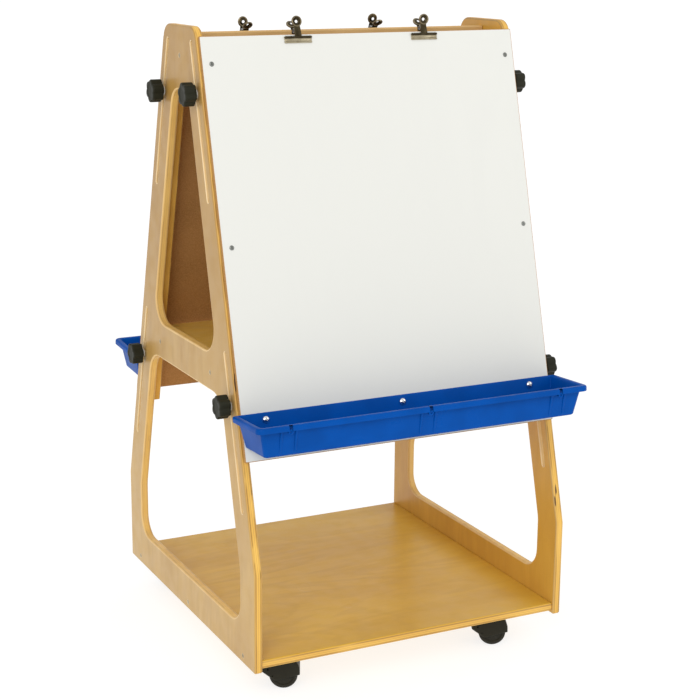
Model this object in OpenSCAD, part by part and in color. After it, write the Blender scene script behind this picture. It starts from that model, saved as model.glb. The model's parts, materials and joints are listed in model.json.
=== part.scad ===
// Mobile double-sided easel: two plywood side panels on hooded casters carry a base shelf, a middle
// shelf and a top rail. A white writing board slides up and down each sloping face and is clamped by
// star knobs. Each board has a paint tray and two bulldog clips.
// Millimetres, +Z up, origin on the floor under the middle of the easel, front board facing -Y.

/* [Frame] */
// Overall width across the two side panels
frame_w = 617; // [560:1:680]
// Thickness of the plywood
ply_t = 15; // [12:0.5:18]
// Half depth of a side panel at its foot
foot_half = 310.8; // [290:0.1:340]
// Height of the vertical part of a side panel, foot to knee
knee_h = 177.8; // [150:0.1:200]
// Height of a side panel
panel_h = 1071.8; // [1030:0.1:1100]
// Lean of the sloping edges from the vertical
slant = 15; // [13:0.5:16]
// Radius of the top corners of a side panel
top_r = 28; // [10:1:40]

/* [Windows] */
// Width of the frame left between a sloping edge and a window
rim_w = 63; // [55:1:75]
// Bottom of the upper window above the foot
upper_win_z = 522; // [500:1:560]
// Top of the upper window above the foot
upper_win_top = 961; // [900:1:970]
// Top of the lower window above the foot
lower_win_top = 454.5; // [400:0.5:465]
// Bottom of the lower window above the foot
lower_win_z = 67.5; // [50:0.5:100]
// Corner radius of the windows
win_r = 43; // [20:1:50]

/* [Slots] */
// Width of the slots that the clamping studs run in
slot_w = 8.5; // [7:0.5:10]
// Distance of the slots' centre line from the sloping edge
slot_in = 23; // [20:1:28]
// Length of a slot, end to end
slot_l = 274.5; // [240:0.5:280]
// Start of the lower slots, along the sloping edge from the knee
low_slot_u = 105; // [100:1:130]
// Start of the upper slots, along the sloping edge from the knee
high_slot_u = 632; // [620:1:640]

/* [Shelves] */
// Gap under the base shelf down to the foot of the side panels
base_gap = 6.5; // [0:0.5:20]
// Depth of the base shelf
base_d = 613.4; // [580:0.1:620]
// Height of the middle shelf's underside above the foot
mid_shelf_z = 479; // [470:1:485]
// Depth of the middle shelf
mid_shelf_d = 430; // [380:1:436]
// Height of the top rail's lower edge above the foot
rail_z = 981; // [975:1:990]
// Height of the top rail board
rail_h = 78; // [50:1:80]

/* [Boards] */
// Width of a writing board
board_w = 610; // [560:1:612]
// Length of a writing board
board_l = 716.4; // [690:0.1:730]
// Thickness of a writing board
board_t = 6; // [4:0.5:8]
// Gap between a board's back and the sloping edge
board_gap = 2; // [1:0.5:3]
// Lower end of the front board, along the sloping edge from the knee
front_u = 191.3; // [185:0.1:195]
// Lower end of the rear board, along the sloping edge from the knee
rear_u = 184.5; // [180:0.1:195]
// Width of a cleat, across the easel
cleat_w = 18; // [15:1:22]
// Depth of a cleat, square to the board
cleat_d = 45; // [40:1:50]
// Heights of the two clamping studs above the board's lower end
stud_u = [97, 625]; // [50:1:680]

/* [Trays] */
// Width of a tray over its rim
tray_w = 640; // [600:1:650]
// Depth of a tray over its rim
tray_d = 108; // [90:1:115]
// Height of a tray
tray_h = 52; // [45:1:60]
// Upward tilt of a tray's rim
tray_tilt = 3.3; // [0:0.1:5]
// Wall thickness of a tray
tray_t = 2.5; // [2:0.1:4]
// Spacing of a tray's bolts and of its hooks
tray_pitch = 261; // [240:1:265]

/* [Knobs] */
// Diameter of a star knob
knob_d = 41; // [36:1:45]
// Length of a star knob
knob_l = 24; // [18:1:28]
// Diameter of a clamping stud
stud_d = 6.35; // [6:0.05:6.5]

/* [Clips] */
// Width of a clip's jaws
clip_w = 55; // [45:1:60]
// Places of the two front clips across the board
front_clips_x = [-122, 123]; // [-270:1:270]
// Places of the two rear clips across the board, as seen from behind
rear_clips_x = [-108, 152]; // [-270:1:270]

/* [Casters] */
// Height of a caster, floor to the base shelf
caster_h = 63.5; // [60:0.5:70]
// Wheel radius
wheel_r = 25; // [22:0.5:27]
// Tread width of one wheel
wheel_w = 16; // [12:0.5:18]
// Distance from the swivel axis to the axle
trail = 17; // [15:0.5:26]
// Swivel axes out from the middle of the easel, across and along
swivel_x = 212.5; // [200:0.5:220]
swivel_y = 259; // [250:0.5:280]
// Heading of the casters' wheels, from their swivels
heading = 154.5; // [0:0.5:360]

/* [Hidden] */
SIDES = ["front", "rear"];
HANDS = ["left", "right"];
LEVELS = ["lower", "upper"];
// Each caster's place, with the signs of its x and y
CORNERS = [["front_left", -1, -1], ["front_right", 1, -1], ["rear_left", -1, 1], ["rear_right", 1, 1]];
SIDE_PARTS = ["whiteboard", "cleat_left", "cleat_right", "board_screws", "inserts", "washers", "tray",
    "tray_bolts", "tray_nuts", "clip_back_jaws", "clip_springs", "clip_jaw_left", "clip_jaw_right"];
CASTER_PARTS = ["hood", "axle", "wheel_left", "wheel_right"];
$fn = 48;

foot_z = caster_h - base_gap;
knee_z = foot_z + knee_h;
top_half = foot_half - (panel_h - knee_h) * tan(slant);
inner_x = frame_w / 2 - ply_t;
eps = 0.01;

ply = [0.80, 0.66, 0.44];
steel = [0.62, 0.62, 0.62];
nickel = [0.58, 0.55, 0.46];
white = [0.94, 0.94, 0.92];
blue = [0.02, 0.30, 0.66];
black = [0.14, 0.14, 0.13];

// Half depth of the sloping edge at a height above the foot, moved inwards by a distance
function edge_half(z, inwards = 0) = foot_half - (z - knee_h) * tan(slant) - inwards / cos(slant);

// Points of an arc that rounds the corner p between its neighbours a and b
function unit(v) = v / norm(v);
function corner(a, p, b, r, steps = 10) =
    let (
        u = unit(a - p),
        v = unit(b - p),
        half = acos(u * v) / 2,
        c = p + unit(u + v) * r / sin(half),
        s = p + u * r / tan(half) - c,
        e = p + v * r / tan(half) - c,
        from = atan2(s.y, s.x),
        sweep = (atan2(e.y, e.x) - from + 540) % 360 - 180)
    [for (i = [0:steps]) c + r * [cos(from + sweep * i / steps), sin(from + sweep * i / steps)]];
function rounded(pts, radii) = let (n = len(pts))
    [for (i = [0:n - 1]) each corner(pts[(i + n - 1) % n], pts[i], pts[(i + 1) % n], radii[i])];

// Local frame of one sloping face: X across, Y inwards, Z up the slope from the knee
module on_face(side) rotate(side == "front" ? 0 : 180)
    translate([0, -foot_half, knee_z]) rotate([-slant, 0, 0]) children();

// Local frame of a writing board: as on_face, with the board's back at Y = 0 and its lower end at Z = 0
module on_board(side) on_face(side)
    translate([0, -board_gap, side == "front" ? front_u : rear_u]) children();

module rounded_box_2d(w, d, r) {
    square([w - 2 * r, d], center = true);
    square([w, d - 2 * r], center = true);
    for (x = [-1, 1], y = [-1, 1]) translate([x * (w / 2 - r), y * (d / 2 - r)]) circle(r);
}

// ---- Frame ----

module window_2d_upper() {
    low = edge_half(upper_win_z, rim_w);
    high = edge_half(upper_win_top, rim_w);
    polygon(rounded(
        [[-low, upper_win_z], [low, upper_win_z], [high, upper_win_top], [-high, upper_win_top]],
        [win_r, win_r, win_r - 8, win_r - 8]));
}

module window_2d_lower() {
    high = edge_half(lower_win_top, rim_w);
    low = foot_half - rim_w;
    bend_z = knee_h - (rim_w / cos(slant) - rim_w) / tan(slant);
    polygon(rounded(
        [[-low, lower_win_z], [low, lower_win_z], [low, bend_z], [high, lower_win_top],
            [-high, lower_win_top], [-low, bend_z]],
        [win_r - 3, win_r - 3, 60, win_r + 7, win_r + 7, 60]));
}

module slot_2d(u) translate([-foot_half, knee_h]) rotate(-slant) translate([slot_in, u + slot_w / 2]) {
    for (end = [0, slot_l - slot_w]) translate([0, end]) circle(d = slot_w);
    translate([-slot_w / 2, 0]) square([slot_w, slot_l - slot_w]);
}

module panel_2d() difference() {
    polygon(rounded(
        [[-foot_half, 0], [foot_half, 0], [foot_half, knee_h], [top_half, panel_h],
            [-top_half, panel_h], [-foot_half, knee_h]],
        [4, 4, 20, top_r, top_r, 20]));
    window_2d_upper();
    window_2d_lower();
    for (flip = [0, 1], u = [low_slot_u, high_slot_u]) mirror([flip, 0]) slot_2d(u);
}

// Frame screws as [y, z above the foot], the same on both side panels
FRAME_SCREWS = [
    [-259, base_gap + ply_t / 2], [0, base_gap + ply_t / 2], [259, base_gap + ply_t / 2],
    [-123, mid_shelf_z + ply_t / 2], [123, mid_shelf_z + ply_t / 2], [0, rail_z + rail_h / 2]];
screw_head_r = 4.4;
screw_r = 2.1;
screw_l = 48;
hole_slack = 0.15;

// Solids along +X from the outer face of the left side panel, one per frame screw
module at_frame_screws(hand) mirror([hand == "left" ? 0 : 1, 0, 0])
    for (p = FRAME_SCREWS) translate([-frame_w / 2, p.x, foot_z + p.y]) rotate([0, 90, 0]) children();

module frame_screw(slack = 0) {
    translate([0, 0, -eps * sign(slack)]) cylinder(r1 = screw_head_r + slack, r2 = screw_r + slack, h = 2.6);
    cylinder(r = screw_r + slack, h = screw_l + slack);
}

module side_panel(hand) color(ply) difference() {
    translate([hand == "left" ? -frame_w / 2 : inner_x, 0, foot_z])
        rotate([90, 0, 90]) linear_extrude(ply_t) panel_2d();
    at_frame_screws(hand) frame_screw(hole_slack);
}

module frame_screw_holes() for (hand = HANDS) at_frame_screws(hand) frame_screw(hole_slack);

module base_shelf() color(ply) difference() {
    translate([-inner_x, -base_d / 2, foot_z + base_gap]) cube([2 * inner_x, base_d, ply_t]);
    frame_screw_holes();
    at_caster_screws() caster_screw(hole_slack);
}

// The middle shelf's corners are cut away so that the boards' cleats can pass
notch_w = cleat_w + 4;
notch_y = edge_half(mid_shelf_z, cleat_d) - 6;
module middle_shelf() color(ply) difference() {
    translate([0, 0, foot_z + mid_shelf_z]) linear_extrude(ply_t) difference() {
        square([2 * inner_x, mid_shelf_d], center = true);
        for (x = [-1, 1], y = [-1, 1])
            translate([x * inner_x, y * (notch_y + mid_shelf_d) / 2])
                square([2 * notch_w, mid_shelf_d - notch_y], center = true);
    }
    frame_screw_holes();
}

module top_rail() color(ply) difference() {
    translate([-inner_x, -ply_t / 2, foot_z + rail_z]) cube([2 * inner_x, ply_t, rail_h]);
    frame_screw_holes();
}

module frame_screws() color(nickel) for (hand = HANDS) at_frame_screws(hand) frame_screw();

// ---- Casters ----

plate_w = 42;
plate_t = 2;
plate_z = caster_h - plate_t;
pintle_r = 4;
pintle_l = 13;
run_gap = 0.05;
web_t = 8;
wheel_gap = 0.6;
hood_w = 2 * (web_t / 2 + wheel_gap + wheel_w) + 2 * (wheel_gap + 2.4);
hood_top = plate_z - 0.8;
axle_r = 3;

module at_swivel(c) translate([c[1] * swivel_x, c[2] * swivel_y, 0]) children();

module at_swivels() for (c = CORNERS) at_swivel(c) children();

module at_caster_screws() at_swivels() for (x = [-1, 1], y = [-1, 1])
    translate([x * 15, y * 15, plate_z]) children();

// Countersunk, with its head flush in the plate
module caster_screw(slack = 0) {
    cylinder(r = 1.75 + slack, h = 13 + slack);
    translate([0, 0, -eps * sign(slack)]) cylinder(r1 = 3.4 + slack, r2 = 1.75 + slack, h = 1.6);
}

module caster_screws() color(steel) at_caster_screws() caster_screw();

module caster_plates() color(steel) at_swivels() difference() {
    union() {
        translate([0, 0, plate_z]) linear_extrude(plate_t) rounded_box_2d(plate_w, plate_w, 5);
        translate([0, 0, plate_z - pintle_l]) cylinder(r = pintle_r, h = pintle_l + plate_t);
    }
    for (x = [-1, 1], y = [-1, 1]) translate([x * 15, y * 15, plate_z]) caster_screw(hole_slack);
}

// Side outline of a hood in its own frame, X from the swivel to the wheels: a fender round the wheels,
// a tail behind them and a boss for the swivel in front
tail_x = trail + 38;
nose_x = trail - wheel_r - 4;
module hood_2d() difference() {
    union() {
        translate([trail, wheel_r]) circle(wheel_r + 4);
        polygon([[nose_x, wheel_r], [nose_x + 0.5, wheel_r + 20], [nose_x + 5, hood_top - 3],
            [nose_x + 10, hood_top], [trail + 20, hood_top], [trail + 30, wheel_r + 25],
            [tail_x, wheel_r + 12], [tail_x, wheel_r + 6], [trail + 14, 13.2], [trail, wheel_r]]);
    }
    polygon([[trail - 40, -5], [trail - 40, wheel_r], [nose_x, wheel_r], [trail + 14, 13.2],
        [tail_x, wheel_r + 6], [tail_x, -5]]);
}

wheel_y = web_t / 2 + wheel_gap + wheel_w / 2;
module hood(c) color(black) at_swivel(c) rotate(heading) difference() {
    union() {
        rotate([90, 0, 0]) translate([0, 0, -hood_w / 2]) linear_extrude(hood_w) hood_2d();
        translate([0, 0, wheel_r + 20]) cylinder(r = 9, h = hood_top - wheel_r - 20);
    }
    for (y = [-1, 1]) translate([trail, y * wheel_y, wheel_r]) rotate([90, 0, 0])
        cylinder(r = wheel_r + 1, h = wheel_w + 2 * wheel_gap, center = true);
    translate([trail, 0, wheel_r]) rotate([90, 0, 0]) cylinder(r = axle_r, h = hood_w + 1, center = true);
    translate([0, 0, plate_z - pintle_l - 1]) cylinder(r = pintle_r + run_gap, h = 30);
}

module axle(c) color(steel) at_swivel(c) rotate(heading) translate([trail, 0, wheel_r])
    rotate([90, 0, 0]) cylinder(r = axle_r, h = hood_w - 0.6, center = true);

// Half outline of a wheel: a tread with rounded shoulders and a dished face
module wheel_2d() polygon([
    [axle_r + run_gap, -wheel_w / 2], [9, -wheel_w / 2], [10, 2 - wheel_w / 2], [18, 2 - wheel_w / 2],
    [19, -wheel_w / 2], [wheel_r - 3, -wheel_w / 2], [wheel_r, 4 - wheel_w / 2],
    [wheel_r, wheel_w / 2 - 4], [wheel_r - 3, wheel_w / 2], [19, wheel_w / 2], [18, wheel_w / 2 - 2],
    [10, wheel_w / 2 - 2], [9, wheel_w / 2], [axle_r + run_gap, wheel_w / 2]]);

module wheel(c, hand) color(black) at_swivel(c) rotate(heading)
    translate([trail, (hand == "left" ? 1 : -1) * wheel_y, wheel_r])
        rotate([90, 0, 0]) rotate_extrude($fn = 64) wheel_2d();

// ---- Writing boards ----

cleat_x = inner_x - 0.4 - cleat_w / 2;
board_screw_u = [360, 669];
board_screw_x = 287.5;
stud_in = slot_in + board_gap;
tray_bolt_u = 68;
insert_r = 5;
insert_l = 12;

module at_board_screws() for (x = [-1, 1], u = board_screw_u)
    translate([x * board_screw_x, -board_t, u]) rotate([-90, 0, 0]) children();

module board_screw(slack = 0) {
    cylinder(r = 1.9 + slack, h = 26 + slack);
    if (slack == 0) translate([0, 0, -1.4]) cylinder(r1 = 3.4, r2 = 4.3, h = 1.4);
}

module at_tray_bolts() for (i = [-1:1])
    translate([i * tray_pitch, -board_t, tray_bolt_u]) rotate([90, 0, 0]) children();

module whiteboard(side) color(white) on_board(side) difference() {
    translate([-board_w / 2, -board_t, 0]) cube([board_w, board_t, board_l]);
    at_board_screws() board_screw(hole_slack);
    at_tray_bolts() translate([0, 0, -board_t - 1]) cylinder(r = bolt_r + hole_slack, h = board_t + 2);
}

// Studs run across the easel, from the outer face inwards
module at_studs(hand, levels = [0, 1]) mirror([hand == "left" ? 0 : 1, 0, 0])
    for (i = levels) translate([-frame_w / 2, stud_in, stud_u[i]]) rotate([0, 90, 0]) children();

module cleat(side, hand) color(ply) on_board(side) difference() {
    translate([(hand == "left" ? -1 : 1) * cleat_x - cleat_w / 2, 0, 0]) cube([cleat_w, cleat_d, board_l]);
    at_board_screws() board_screw(hole_slack);
    at_studs(hand) translate([0, 0, ply_t - 1]) {
        cylinder(r = insert_r, h = insert_l + 1.4);
        cylinder(r = stud_d / 2 + 0.4, h = cleat_w + 3);
    }
}

module board_screws(side) color(steel) on_board(side) at_board_screws() board_screw();

module inserts(side) color([0.75, 0.6, 0.3]) on_board(side) for (hand = HANDS) at_studs(hand)
    translate([0, 0, ply_t + 0.4]) difference() {
        cylinder(r = insert_r, h = insert_l);
        translate([0, 0, -1]) cylinder(r = stud_d / 2 + run_gap, h = insert_l + 2);
    }

washer_t = 1.6;
washer_r = 8.5;
module washers(side) color(steel) on_board(side) for (hand = HANDS) at_studs(hand)
    translate([0, 0, -washer_t - 0.3]) difference() {
        cylinder(r = washer_r, h = washer_t);
        translate([0, 0, -1]) cylinder(r = stud_d / 2 + run_gap, h = washer_t + 2);
    }

// ---- Star knobs ----

lobes = 6;
lobe_r = 6.6;
module knob_2d() difference() {
    union() {
        circle(knob_d / 2 - 3.2);
        for (i = [0:lobes - 1]) rotate(i * 360 / lobes) translate([knob_d / 2 - lobe_r, 0]) circle(lobe_r);
    }
    for (i = [0:lobes - 1]) rotate((i + 0.5) * 360 / lobes) translate([knob_d / 2 + 2.2, 0]) circle(5);
}

module knob(side, level, hand) color(black) on_board(side)
    at_studs(hand, [level == "lower" ? 0 : 1]) {
        seat = -washer_t - 0.6;
        translate([0, 0, seat - 4]) cylinder(r1 = 11.5, r2 = 9.5, h = 4);
        translate([0, 0, seat - knob_l + 2]) linear_extrude(knob_l - 6) knob_2d();
        translate([0, 0, seat - knob_l]) linear_extrude(2) scale(0.92) knob_2d();
        translate([0, 0, seat - 6]) cylinder(d = stud_d, h = ply_t + 24);
    }

// ---- Paint trays ----

bolt_r = 3;
bolt_head_r = 6.3;
tray_top_u = 79.5;
tray_draft = 11;
tray_back = slant - tray_tilt;
rim_band = 8;
rim_drop = 10;
tray_nut_t = 5;

// Local frame of a tray: origin at the top of its back on the board's face, -Y outwards, Z up from the rim
module on_tray(side) on_board(side) translate([0, -board_t, tray_top_u])
    rotate([tray_back, 0, 0]) children();

// Tapered tub with rounded corners, shrunk all round by inset
module tub(inset, floor_z, top_z) hull() for (z = [top_z, floor_z]) {
    shrink = -z * tan(tray_draft) + inset;
    w = tray_w - 2 * rim_band - 2 * shrink;
    front = -tray_d + rim_band + shrink;
    back = z * tan(tray_back) - inset;
    translate([0, (front + back) / 2, z]) linear_extrude(eps) rounded_box_2d(w, back - front, 7);
}

module behind_board_face() rotate([-tray_back, 0, 0])
    translate([-tray_w, 0, -2 * tray_h]) cube([2 * tray_w, tray_d, 4 * tray_h]);

hook_w = 9;
rib_x = 14.5;
rib_r = 2.2;
module tray(side) color(blue) difference() {
    on_tray(side) difference() {
        union() {
            tub(0, -tray_h, -eps);
            // Rolled rim: a flange with a turned-down lip
            translate([0, -tray_d / 2, -tray_t]) linear_extrude(tray_t) rounded_box_2d(tray_w, tray_d, 12);
            translate([0, -tray_d / 2, -rim_drop]) linear_extrude(rim_drop) difference() {
                rounded_box_2d(tray_w, tray_d, 12);
                rounded_box_2d(tray_w - 2 * tray_t, tray_d - 2 * tray_t, 12 - tray_t);
            }
            for (i = [-1:1], s = [-1, 1]) translate([i * tray_pitch + s * rib_x, -tray_d + rim_band, 0])
                rotate([tray_draft, 0, 0]) translate([0, 0, -tray_h]) cylinder(r = rib_r, h = tray_h - 5);
        }
        tub(tray_t, -tray_h + tray_t, 1);
        behind_board_face();
        // Hook notches in the lip
        for (i = [-1:1]) translate([i * tray_pitch - hook_w / 2, -tray_d - 1, -rim_drop - 1])
            cube([hook_w, tray_t + 1.6, rim_drop - 2]);
    }
    on_board(side) at_tray_bolts() translate([0, 0, -1]) cylinder(r = bolt_r + hole_slack, h = 12);
}

module tray_bolts(side) color(steel) on_board(side) at_tray_bolts() {
    translate([0, 0, tray_t + 0.1]) intersection() {
        translate([0, 0, -bolt_head_r + 4.6]) sphere(bolt_head_r + 0.6);
        cylinder(r = bolt_head_r, h = 6);
    }
    translate([0, 0, -board_t - tray_nut_t - 2]) cylinder(r = bolt_r, h = board_t + tray_nut_t + tray_t + 3);
}

module tray_nuts(side) color(steel) on_board(side) at_tray_bolts()
    translate([0, 0, -board_t - tray_nut_t]) difference() {
        union() {
            cylinder(d = 10.6, h = tray_nut_t, $fn = 6);
            translate([0, 0, tray_nut_t - 1]) cylinder(r = 6.5, h = 1);
        }
        translate([0, 0, -1]) cylinder(r = bolt_r, h = tray_nut_t + 2);
    }

// ---- Bulldog clips ----
// A clip's own frame: X across, Y inwards with 0 at the board's mid-plane, Z up with 0 at the board's top end

jaw_top = -4;
jaw_h = 12;
jaw_t = 1;
neck_w = 12;
pivot_z = 7;
loop_r = 9.2;
loop_hole_r = 4;
loop_t = 2.4;
jaw_gap = 0.3;

module on_clips(side, which = [0, 1]) on_board(side) for (i = which)
    translate([side == "front" ? front_clips_x[i] : rear_clips_x[i], -board_t / 2, board_l]) children();

// One jaw on the board's outer face: a ribbed lip, a neck beside the spring, and an arm of length arm_l
// with a round finger loop, leaning outwards by lean
module clip_jaw(lean, arm_l) translate([0, -board_t / 2 - jaw_gap - jaw_t, 0]) {
    translate([-clip_w / 2, 0, jaw_top - jaw_h]) cube([clip_w, jaw_t, jaw_h]);
    translate([-clip_w / 2, -1, jaw_top - 2]) rotate([0, 90, 0]) cylinder(r = 2, h = clip_w);
    translate([-clip_w / 2, 0.1, jaw_top - jaw_h + 1]) rotate([0, 90, 0]) cylinder(r = 1, h = clip_w);
    translate([-neck_w / 2, -1.6, jaw_top - 2]) cube([neck_w, 1.6, pivot_z - jaw_top + 3]);
    translate([0, -1.6, pivot_z]) rotate([lean, 0, 0]) {
        translate([-neck_w / 2, 0, 0]) cube([neck_w, 1.2, arm_l - loop_hole_r - 1]);
        translate([0, loop_t / 2 + 0.6, arm_l]) rotate([90, 0, 0]) difference() {
            cylinder(r = loop_r, h = loop_t);
            translate([0, 0, -1]) cylinder(r = loop_hole_r, h = loop_t + 2);
        }
    }
}

module clip_front_jaw(side, i) color(nickel) on_clips(side, [i]) clip_jaw(-6, 17.5);

module clip_back_jaws(side) color(nickel) on_clips(side) mirror([0, 1, 0]) clip_jaw(42, 20.5);

spring_r = 3.9;
module clip_springs(side) color(steel) on_clips(side) translate([0, 0, pivot_z - 1]) rotate([0, 90, 0])
    difference() {
        cylinder(r = spring_r, h = neck_w - 1, center = true);
        cylinder(r = spring_r - 1, h = neck_w, center = true);
    }

// ---- Placement ----

side_panel("left");  // side_panel_left
side_panel("right");  // side_panel_right
base_shelf();
middle_shelf();
top_rail();
frame_screws();
caster_plates();
caster_screws();
for (s = SIDES) {
    whiteboard(s);
    cleat(s, "left");
    cleat(s, "right");
    board_screws(s);
    inserts(s);
    washers(s);
    tray(s);
    tray_bolts(s);
    tray_nuts(s);
    clip_back_jaws(s);
    clip_springs(s);
    clip_front_jaw(s, 0);
    clip_front_jaw(s, 1);
    for (l = LEVELS) for (h = HANDS)
        knob(s, l, h);
}
for (c = CORNERS) {
    hood(c);
    axle(c);
    wheel(c, "left");
    wheel(c, "right");
}
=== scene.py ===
"""Looks of the mobile double-sided easel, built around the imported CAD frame.

Lengths of the pieces are written in millimetres in local frames and placed by matrices in metres.
"""

import json
import math

import bpy
from mathutils import Matrix, Vector
from mathutils.geometry import tessellate_polygon


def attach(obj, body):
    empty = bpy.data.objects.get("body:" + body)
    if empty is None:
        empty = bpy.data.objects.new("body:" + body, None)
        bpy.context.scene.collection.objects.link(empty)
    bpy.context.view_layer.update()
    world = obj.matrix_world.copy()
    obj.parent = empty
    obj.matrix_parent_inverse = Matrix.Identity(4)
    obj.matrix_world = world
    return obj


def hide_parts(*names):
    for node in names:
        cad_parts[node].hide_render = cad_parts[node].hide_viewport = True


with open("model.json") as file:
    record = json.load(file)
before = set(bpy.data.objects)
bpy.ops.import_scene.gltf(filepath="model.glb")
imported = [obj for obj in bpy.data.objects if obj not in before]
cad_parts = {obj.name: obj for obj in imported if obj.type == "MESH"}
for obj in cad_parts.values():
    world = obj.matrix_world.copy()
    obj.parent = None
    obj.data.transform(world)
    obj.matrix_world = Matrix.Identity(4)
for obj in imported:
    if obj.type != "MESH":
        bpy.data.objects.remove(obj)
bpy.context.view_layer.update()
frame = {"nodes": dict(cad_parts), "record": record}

SIDES = ("front", "rear")
HANDS = ("left", "right")
CORNERS = {"front_left": (-1, -1), "front_right": (1, -1), "rear_left": (-1, 1), "rear_right": (1, 1)}

# Frame, in millimetres: heights are over the panels' foot, HALF is half the depth at the foot
FRAME_W, PLY = 617.0, 15.0
FOOT_Z, KNEE, TOP = 57.0, 177.8, 1071.8
HALF, SLANT = 310.8, math.radians(15)
INNER_X = FRAME_W / 2 - PLY
LEG_W, PANEL_ROUND = 63.0, 3.2
BASE_Z, MIDDLE_Z, RAIL_Z, RAIL_H = 6.5, 479.0, 981.0, 78.0
SHELF_W = 2 * INNER_X - 0.2

# Boards: U runs up the sloping face, from the knee for BOARD_U and SLOT_U, else from the board's lower edge
BOARD_W, BOARD_L, BOARD_T, BOARD_GAP = 610.0, 716.4, 6.0, 2.0
BOARD_U = {"front": 191.3, "rear": 184.5}
STUD_Y, STUD_U = 25.0, {"lower": 97.0, "upper": 625.0}
SLOT_IN, SLOT_W, SLOT_L = STUD_Y - BOARD_GAP, 8.5, 274.5
SLOT_U = (105, 632)
CLEAT_W, CLEAT_D = 18.0, 45.0
BOARD_SCREW_X, BOARD_SCREW_U = 287.5, (360, 669)
CLIP_X = {"front": (-123.8, 123.0), "rear": (-108.0, 152.0)}

# Trays: the walls lean by TRAY_DRAFT, and the rim tips back by TRAY_BACK from the board's square
TRAY_W, TRAY_D, TRAY_H, TRAY_TOP_U, TRAY_T = 640.0, 108.0, 55.0, 80.5, 2.5
TRAY_PITCH, TRAY_BACK, TRAY_DRAFT = 261.0, math.radians(11.7), math.radians(11)

# Casters
WHEEL_R, WHEEL_W, TRAIL = 25.0, 16.0, 17.0
SWIVEL = (212.5, 259.0)
HEADING = math.radians(154.5)

MM = Matrix.Scale(0.001, 4)


def turn(degrees, axis):
    """Rotation about a named axis."""
    return Matrix.Rotation(math.radians(degrees), 4, axis)


def at(x, y, z):
    """Shift by x, y and z."""
    return Matrix.Translation((x, y, z))


def axes(x, y, z, origin=(0, 0, 0)):
    """Matrix whose local axes point along x, y and z."""
    m = Matrix((x, y, z)).transposed().to_4x4()
    m.translation = Vector(origin)
    return m


def on_face(side):
    """Frame of a sloping face: X across, Y inwards, Z up along the slope from the knee."""
    return MM @ turn(0 if side == "front" else 180, "Z") @ at(0, -HALF, FOOT_Z + KNEE) @ turn(-15, "X")


def on_board(side):
    """Frame of a board: its back is at Y 0 and its lower edge at Z 0."""
    return on_face(side) @ at(0, -BOARD_GAP, BOARD_U[side])


def on_clip(side, i):
    """Frame of a clip, half way through the board's thickness on its upper edge."""
    return on_board(side) @ at(CLIP_X[side][i], -BOARD_T / 2, BOARD_L)


def edge_half(z, inwards=0.0):
    """Half depth of a panel at height z, over the knee, or of a line further in and parallel to its edge."""
    return HALF - (z - KNEE) * math.tan(SLANT) - inwards / math.cos(SLANT)


# ---- Shapes ----


def rounded(points, radii, inset=0.0, steps=8):
    """Points and outward normals of an anticlockwise outline with rounded corners, moved inwards by inset."""
    smallest = 0.02
    out = []
    n = len(points)
    for i in range(n):
        a, p, b = (Vector(points[(i + k) % n]) for k in (-1, 0, 1))
        d1, d2 = (p - a).normalized(), (b - p).normalized()
        n1, n2 = Vector((d1.y, -d1.x)), Vector((d2.y, -d2.x))
        sign = 1 if d1.x * d2.y - d1.y * d2.x >= 0 else -1
        bisector = (n1 + n2) / (1 + n1.dot(n2))
        q = p - bisector * inset
        r = max(radii[i] - sign * inset, smallest)
        c = q - bisector * r * sign
        start = math.atan2(sign * n1.y, sign * n1.x)
        sweep = math.atan2(n1.x * n2.y - n1.y * n2.x, n1.dot(n2))
        for k in range(steps + 1):
            t = start + sweep * k / steps
            v = Vector((math.cos(t), math.sin(t)))
            out.append((c + v * r, v * sign))
    return out


def rect(w, h, x=0.0, y=0.0):
    """Corners of a rectangle round (x, y), anticlockwise."""
    return [(x - w / 2, y - h / 2), (x + w / 2, y - h / 2), (x + w / 2, y + h / 2), (x - w / 2, y + h / 2)]


def circle(r, steps, x=0.0, y=0.0):
    """Points of a circle round (x, y), anticlockwise."""
    turns = (2 * math.pi * k / steps for k in range(steps))
    return [(x + r * math.cos(t), y + r * math.sin(t)) for t in turns]


class Build:
    """Collects the shells of one piece, in metres in the row frame."""

    def __init__(self):
        self.verts, self.faces, self.normals, self.mats = [], [], [], []

    def add(self, verts, faces, matrix, normals=None, mat=0):
        """Adds a shell placed by matrix; mat is one material index or a list of one for each face."""
        base = len(self.verts)
        spin = matrix.to_3x3()
        flip = spin.determinant() < 0
        self.verts += [matrix @ Vector(v) for v in verts]
        self.normals += [(spin @ n).normalized() for n in normals] if normals else [None] * len(verts)
        for i, f in enumerate(faces):
            ring = [base + k for k in f]
            self.faces.append(ring[::-1] if flip else ring)
            self.mats.append(mat[i] if isinstance(mat, list) else mat)
        return self

    def make(self, name, materials, body, nodes, slot, sharp=35.0):
        """Turns the shells into one object that rides on body and stands in for the CAD nodes."""
        mesh = bpy.data.meshes.new(name)
        mesh.from_pydata(self.verts, [], self.faces)
        for m in materials:
            mesh.materials.append(m)
        mesh.polygons.foreach_set("material_index", self.mats)
        mesh.polygons.foreach_set("use_smooth", [True] * len(self.faces))
        mesh.update()
        if all(n is not None for n in self.normals):
            mesh.normals_split_custom_set_from_vertices(self.normals)
        else:
            mesh.set_sharp_from_angle(angle=math.radians(sharp))
        obj = bpy.data.objects.new(name, mesh)
        bpy.context.scene.collection.objects.link(obj)
        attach(obj, body)
        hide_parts(*nodes)
        return obj


def ring_faces(a, b, n):
    """Quads between two rings of n vertices that start at a and b."""
    return [(a + i, a + (i + 1) % n, b + (i + 1) % n, b + i) for i in range(n)]


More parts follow.
